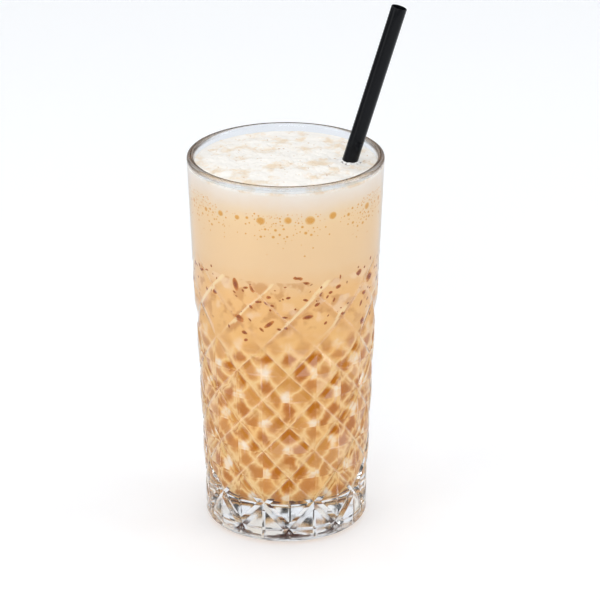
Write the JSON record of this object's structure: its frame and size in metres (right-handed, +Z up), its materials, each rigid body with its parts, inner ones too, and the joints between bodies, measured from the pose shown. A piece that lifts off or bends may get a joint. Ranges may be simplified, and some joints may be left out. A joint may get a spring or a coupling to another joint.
{
  "type": "iced coffee in a cut glass tumbler",
  "caption": "Tall cut-glass tumbler filled with layered milky iced coffee under a white foam head, with a black straw leaning in it.",
  "frame": {"origin": "centre of the glass's underside, on the glass's axis", "axes": "+Z up along the glass's axis; -Y is the front; the straw leans towards +X"},
  "size_m": [0.083, 0.0754, 0.2086],
  "materials": {
    "glass": "clear pressed glass, fire polished, with a mitre-cut diamond pattern",
    "coffee": "opaque milky coffee, golden tan, with brown flecks near its top",
    "milky_coffee": "opaque pale cream coffee with small air bubbles at the wall",
    "foam": "fine white milk foam, matt, with small bubbles",
    "straw": "smooth black plastic, semi-gloss"
  },
  "bodies": {
    "root": {"glass": "glass", "coffee": "coffee", "milky_coffee": "milky_coffee", "foam": "foam", "straw": "straw"}
  },
  "joints": []
}
